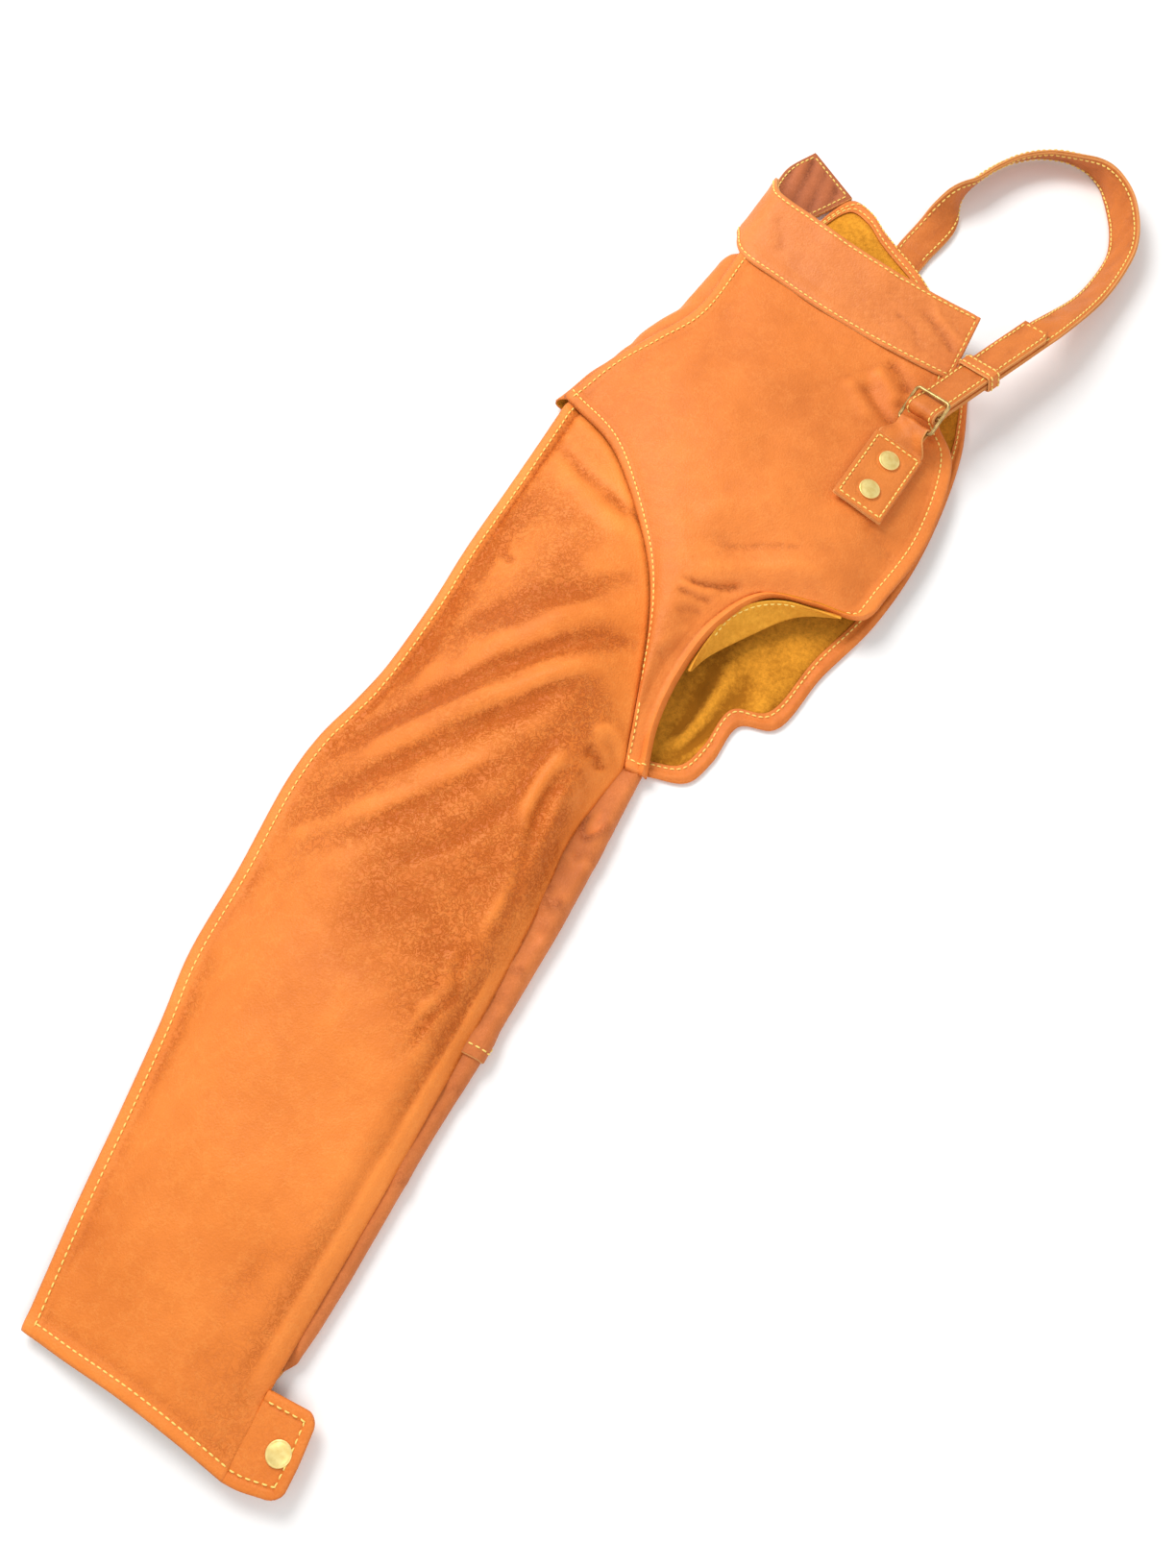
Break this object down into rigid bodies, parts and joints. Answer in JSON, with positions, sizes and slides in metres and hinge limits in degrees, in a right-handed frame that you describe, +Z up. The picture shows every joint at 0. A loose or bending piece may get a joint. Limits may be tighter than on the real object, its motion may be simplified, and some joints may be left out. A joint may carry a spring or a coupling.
{
  "type": "welding sleeve with shoulder guard",
  "caption": "Leather welder's arm-and-shoulder guard lying flat: full sleeve, front and back shoulder panels, collar band, cuff tab, and a looped chest strap with wire slide and snap tab.",
  "frame": {"origin": "middle of the whole object's box, at table level", "axes": "+Y along the sleeve from the cuff to the collar and strap; +Z up from the table; +X from the sleeve's outer seam to the chest side"},
  "size_m": [0.3586, 1.0876, 0.0516],
  "materials": {
    "sleeve_leather": "smooth orange-tan leather with a fine pebble grain and a soft sheen",
    "under_leather": "creased brown-orange leather",
    "panel_leather": "orange-tan leather, semi-matt",
    "collar_leather": "slightly browner leather with fine wrinkles",
    "suede_face": "mustard suede, the leather's inner face",
    "strap_leather": "brown-orange leather with lighter cut edges",
    "snap_brass": "satin brass",
    "slide_wire": "antique brass wire"
  },
  "bodies": {
    "garment": {"sleeve_top_panel": "sleeve_leather", "under_sleeve_lower": "under_leather", "under_sleeve_upper": "under_leather", "front_panel": "panel_leather", "back_panel": "panel_leather", "collar_outer": "collar_leather", "collar_facing": "suede_face", "upper_snap_stud": "snap_brass", "upper_snap_post": "snap_brass", "lower_snap_stud": "snap_brass", "lower_snap_post": "snap_brass", "cuff_snap_stud": "snap_brass", "cuff_snap_post": "snap_brass", "strap_sewn_end_outer": "strap_leather", "strap_sewn_end_lining": "strap_leather"},
    "strap": {"strap_outer": "strap_leather", "strap_lining": "strap_leather"},
    "keeper": {"strap_keeper": "panel_leather"},
    "slide": {"wire_slide": "slide_wire"},
    "snap_tab": {"tab_neck": "panel_leather", "tab_patch_base": "panel_leather", "tab_patch_top": "panel_leather", "upper_snap_cap": "snap_brass", "upper_snap_socket": "snap_brass", "lower_snap_cap": "snap_brass", "lower_snap_socket": "snap_brass"},
    "cuff_tab": {"cuff_tab_outer": "sleeve_leather", "cuff_tab_lining": "sleeve_leather", "cuff_snap_cap": "snap_brass", "cuff_snap_socket": "snap_brass"}
  },
  "joints": [
    {"name": "strap_lift", "type": "hinge", "parent": "garment", "child": "strap", "pos_m": [0.01394, 0.41015, 0.00185], "axis": [0, -1, 0], "range_deg": [0, 80]},
    {"name": "keeper_slide", "type": "slide", "parent": "strap", "child": "keeper", "axis": [0.4306, 0.9012, -0.0501], "range_m": [-0.024, 0.056]},
    {"name": "slide_swing", "type": "hinge", "parent": "strap", "child": "slide", "pos_m": [0.09105, 0.25539, 0.03962], "axis": [-0.8648, 0.396, -0.3086], "range_deg": [0, 8]},
    {"name": "tab_swing", "type": "hinge", "parent": "slide", "child": "snap_tab", "pos_m": [0.08888, 0.24556, 0.03307], "axis": [-0.8648, 0.396, -0.3086], "range_deg": [0, 90]},
    {"name": "cuff_tab_fold", "type": "hinge", "parent": "garment", "child": "cuff_tab", "pos_m": [0.00094, -0.51779, 0.00535], "axis": [0, 1, 0], "range_deg": [0, 180]}
  ]
}
